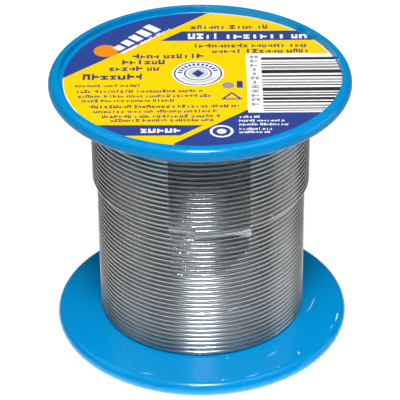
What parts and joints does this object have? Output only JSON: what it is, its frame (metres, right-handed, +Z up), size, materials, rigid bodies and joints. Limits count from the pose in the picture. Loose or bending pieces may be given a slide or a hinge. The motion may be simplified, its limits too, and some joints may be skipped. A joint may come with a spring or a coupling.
{
  "type": "solder wire spool",
  "caption": "Small round spool of solder wire: moulded flanged spool, wound wire, round printed label on top and clear tape holding the wire's end.",
  "frame": {"origin": "middle of the lower rim, on the surface that the spool stands on", "axes": "+Z up along the spool's axis, towards the label; -Y towards the side with the tape and the wire's free end"},
  "size_m": [0.0462, 0.0462, 0.0444],
  "materials": {
    "spool_plastic": "glossy bright blue moulded plastic, slightly translucent at its edges",
    "solder_wire": "drawn tin-lead solder, bright and slightly dulled",
    "label_paper": "printed gloss paper in yellow, dark blue and white",
    "clear_tape": "clear adhesive film, glossy and a little wrinkled"
  },
  "bodies": {
    "root": {"lower_half": "spool_plastic", "upper_half": "spool_plastic", "wire_layer_1": "solder_wire", "wire_layer_2": "solder_wire", "wire_layer_3": "solder_wire", "wire_layer_4": "solder_wire", "wire_layer_5": "solder_wire", "wire_layer_6": "solder_wire", "wire_layer_7": "solder_wire", "label": "label_paper", "tape": "clear_tape"}
  },
  "joints": []
}
